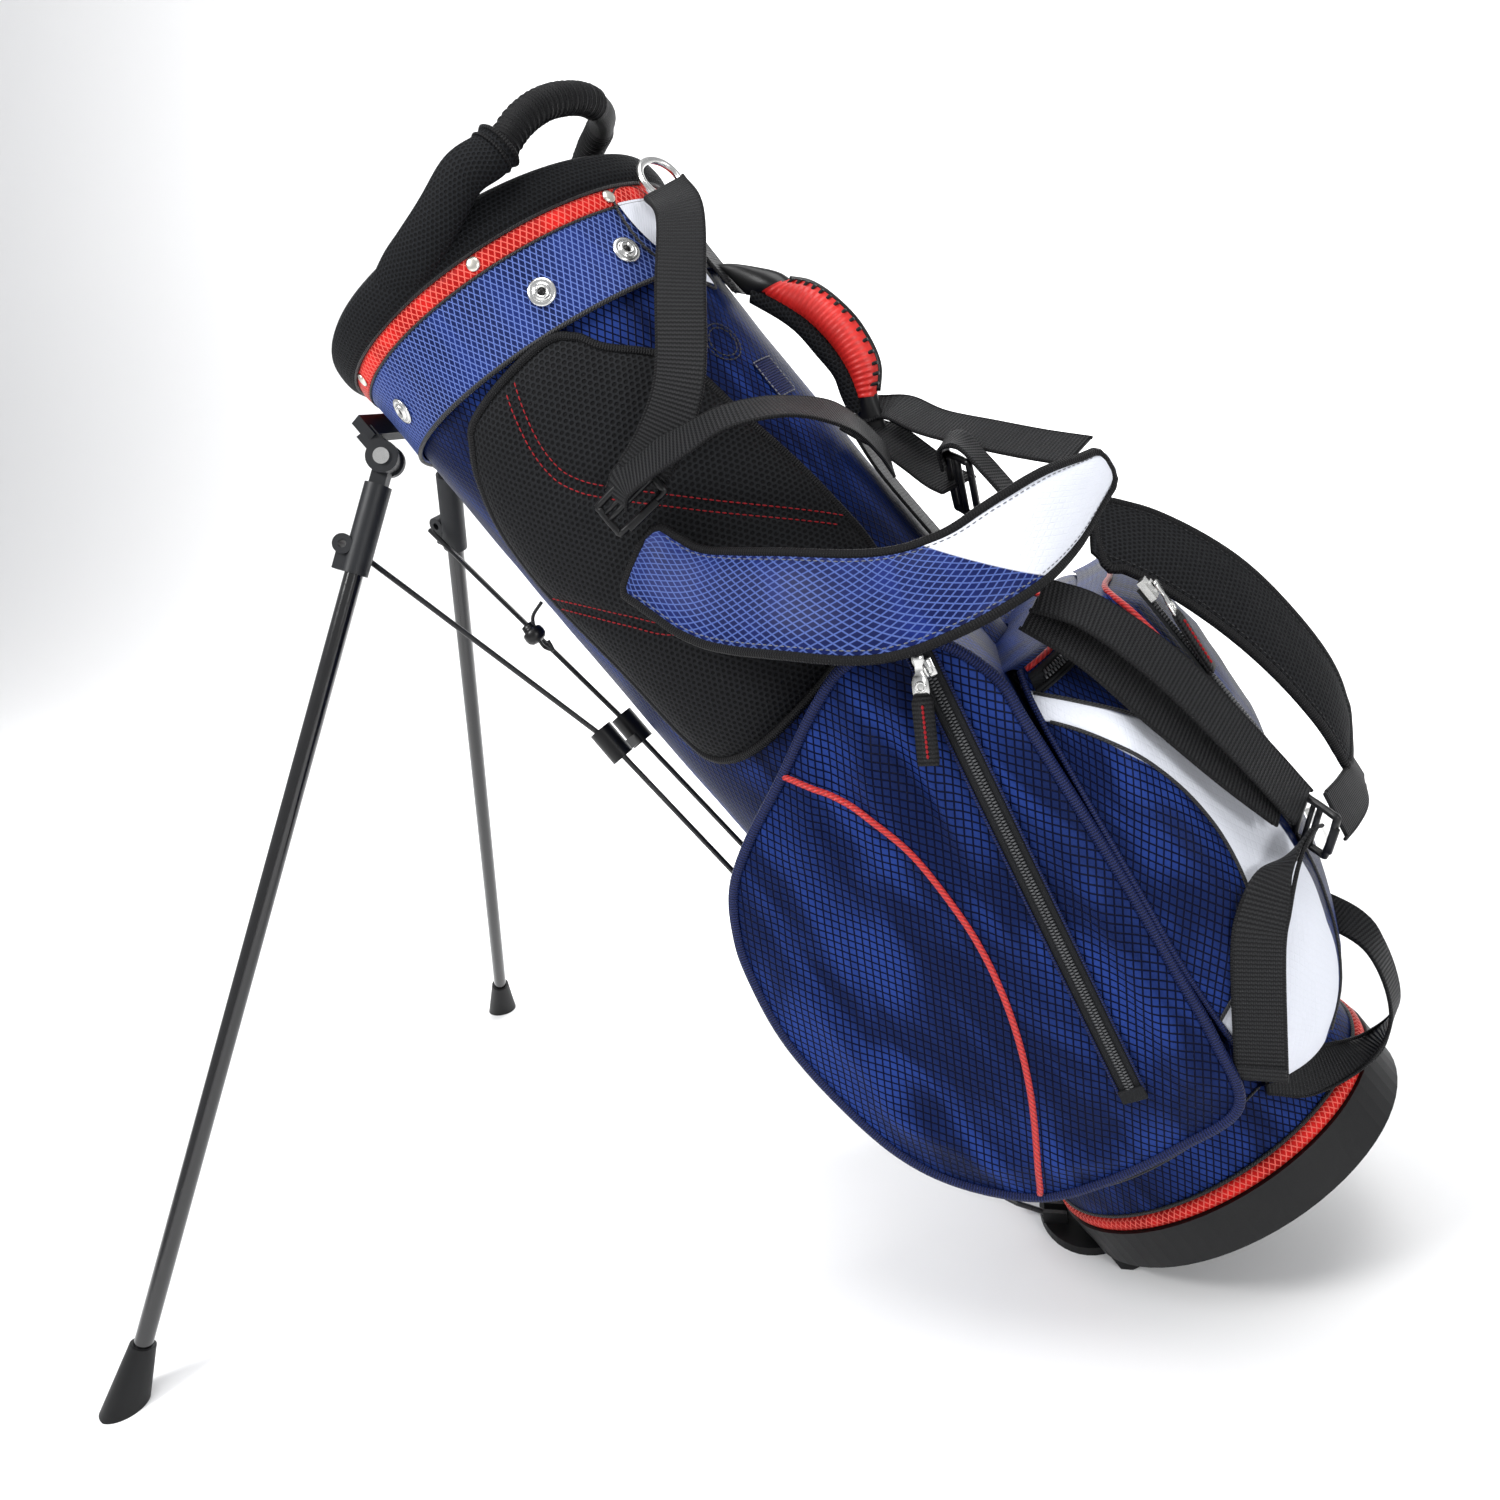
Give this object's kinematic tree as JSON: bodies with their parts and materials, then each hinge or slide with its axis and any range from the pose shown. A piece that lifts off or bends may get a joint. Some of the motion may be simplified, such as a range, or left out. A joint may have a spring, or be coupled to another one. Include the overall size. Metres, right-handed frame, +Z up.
{
  "type": "golf stand bag",
  "caption": "Golf carry bag leaning on two fold-out legs, with a divided mouth, padded collar, zipped pockets, grip handles and a double shoulder strap.",
  "frame": {"origin": "on the ground, in the middle of the box round the whole object as it stands on its legs", "axes": "+Z up; +X from the legs towards the back of the bag, where the straps and the ball pocket are; the near side, with its pocket face, is towards -Y. The bag axis leans 56.33 degrees above the ground towards -X."},
  "size_m": [0.9266, 0.6296, 0.8642],
  "materials": {
    "boot_rubber": "moulded, slightly satin rubber",
    "black_plastic": "moulded plastic with a fine grain",
    "red_ripstop": "glossy red ripstop trim",
    "navy_ripstop": "glossy navy nylon with a diamond ripstop weave",
    "white_ripstop": "white nylon weave",
    "stay_rod": "glass-fibre rod",
    "air_mesh": "black spacer mesh over foam",
    "black_lining": "plain black lining cloth",
    "zip_tape": "woven zip tape with black coils",
    "red_rubber": "ribbed soft red rubber",
    "black_webbing": "ribbed woven webbing",
    "silver_metal": "nickel-plated zinc and steel",
    "grey_plastic": "grained dark grey nylon",
    "leg_tube": "glossy black powder coat on aluminium tube",
    "stand_wire": "black coated spring steel"
  },
  "bodies": {
    "bag": {"boot": "boot_rubber", "base_pan": "black_plastic", "base_trim": "red_ripstop", "body_shell": "navy_ripstop", "body_stays": "stay_rod", "cuff_band": "navy_ripstop", "cuff_trim": "red_ripstop", "collar_pad": "air_mesh", "divider_rim": "black_plastic", "divider_bars": "air_mesh", "divider_panels": "black_lining", "near_hip_pad": "air_mesh", "far_hip_pad": "air_mesh", "near_side_pocket": "navy_ripstop", "far_side_pocket": "navy_ripstop", "ball_pocket": "navy_ripstop", "accessory_pocket": "navy_ripstop", "near_zip_tape": "zip_tape", "far_zip_tape": "zip_tape", "accessory_zip_tape": "zip_tape", "ball_zip_tape": "zip_tape", "carry_handle": "air_mesh", "handle_sleeves": "air_mesh", "grip_handle": "red_rubber", "spine_webbing": "black_webbing", "top_ring": "silver_metal", "front_pad": "navy_ripstop", "rear_pad": "air_mesh", "ring_webbing": "black_webbing", "cross_webbing": "black_webbing", "shoulder_webbing": "black_webbing", "lower_webbing": "black_webbing", "strap_buckles": "black_plastic", "base_loop": "black_webbing", "snap_studs": "silver_metal", "cap_rivets": "silver_metal", "cord_lock": "black_plastic", "stand_bracket": "black_plastic", "pivot_rivets": "silver_metal", "foot_pin": "silver_metal"},
    "near_leg": {"near_leg_sleeve": "grey_plastic", "near_leg_tube": "leg_tube", "near_leg_foot": "boot_rubber"},
    "far_leg": {"far_leg_sleeve": "grey_plastic", "far_leg_tube": "leg_tube", "far_leg_foot": "boot_rubber"},
    "wire_carriage": {"lower_wires": "stand_wire", "wire_clip": "black_plastic"},
    "near_wire": {"near_upper_wire": "stand_wire"},
    "far_wire": {"far_upper_wire": "stand_wire"},
    "foot_plate": {"trigger_foot": "black_plastic"},
    "near_slider": {"near_zip_slider": "silver_metal"},
    "near_pull": {"near_zip_pull": "silver_metal"},
    "far_slider": {"far_zip_slider": "silver_metal"},
    "far_pull": {"far_zip_pull": "silver_metal"},
    "accessory_slider": {"accessory_zip_slider": "silver_metal"},
    "accessory_pull": {"accessory_zip_pull": "silver_metal"},
    "ball_slider": {"ball_zip_slider": "silver_metal", "ball_zip_pull": "silver_metal"},
    "tail": {"strap_tail": "black_webbing"}
  },
  "joints": [
    {"name": "near_leg_fold", "type": "hinge", "parent": "bag", "child": "near_leg", "pos_m": [-0.21937, -0.04265, 0.65025], "axis": [0.3467, -0.9091, 0.231], "range_deg": [0, 55.94]},
    {"name": "far_leg_fold", "type": "hinge", "parent": "bag", "child": "far_leg", "pos_m": [-0.21937, 0.04265, 0.65025], "axis": [-0.3467, -0.9091, -0.231], "range_deg": [0, 55.94]},
    {"name": "wire_travel", "type": "slide", "parent": "bag", "child": "wire_carriage", "axis": [0.5544, 0, -0.8322], "range_m": [0, 0.04552]},
    {"name": "near_wire_flex", "type": "hinge", "parent": "wire_carriage", "child": "near_wire", "pos_m": [-0.08993, -0.021, 0.4159], "axis": [-0.3799, 0.9054, -0.1893], "range_deg": [0, 12.38]},
    {"name": "far_wire_flex", "type": "hinge", "parent": "wire_carriage", "child": "far_wire", "pos_m": [-0.08993, 0.021, 0.4159], "axis": [0.3799, 0.9054, 0.1893], "range_deg": [0, 12.38]},
    {"name": "foot_plate_tilt", "type": "hinge", "parent": "bag", "child": "foot_plate", "pos_m": [0.28588, 0, 0.02004], "axis": [0, -1, 0], "range_deg": [0, 36.8]},
    {"name": "near_zip_run", "type": "slide", "parent": "bag", "child": "near_slider", "axis": [0.3353, 0, -0.9421], "range_m": [0, 0.284]},
    {"name": "near_pull_swing", "type": "hinge", "parent": "near_slider", "child": "near_pull", "pos_m": [0.18218, -0.1828, 0.49984], "axis": [-1, 0, 0], "range_deg": [0, 80]},
    {"name": "far_zip_run", "type": "slide", "parent": "bag", "child": "far_slider", "axis": [0.3353, 0, -0.9421], "range_m": [0, 0.284]},
    {"name": "far_pull_swing", "type": "hinge", "parent": "far_slider", "child": "far_pull", "pos_m": [0.18218, 0.1828, 0.49984], "axis": [1, 0, 0], "range_deg": [0, 80]},
    {"name": "accessory_zip_run", "type": "slide", "parent": "bag", "child": "accessory_slider", "axis": [0.5544, 0, -0.8322], "range_m": [0, 0.09]},
    {"name": "accessory_pull_swing", "type": "hinge", "parent": "accessory_slider", "child": "accessory_pull", "pos_m": [0.31082, -0.08402, 0.51104], "axis": [-0.1872, -0.9744, -0.1247], "range_deg": [0, 80]},
    {"name": "ball_zip_run", "type": "hinge", "parent": "bag", "child": "ball_slider", "pos_m": [0.11552, -0.05, 0.23194], "axis": [0, 1, 0], "range_deg": [0, 11]},
    {"name": "tail_swing", "type": "hinge", "parent": "bag", "child": "tail", "pos_m": [0.388, -0.112, 0.354], "axis": [-1, 0, 0], "range_deg": [0, 25]}
  ],
  "couplings": [
    {"joint": "far_leg_fold", "follows": "near_leg_fold", "ratio": 1},
    {"joint": "wire_travel", "follows": "near_leg_fold", "m_per_rad": 0.046619},
    {"joint": "near_wire_flex", "follows": "near_leg_fold", "ratio": 0.2212},
    {"joint": "far_wire_flex", "follows": "near_leg_fold", "ratio": 0.2212},
    {"joint": "foot_plate_tilt", "follows": "near_leg_fold", "ratio": 0.65778}
  ]
}
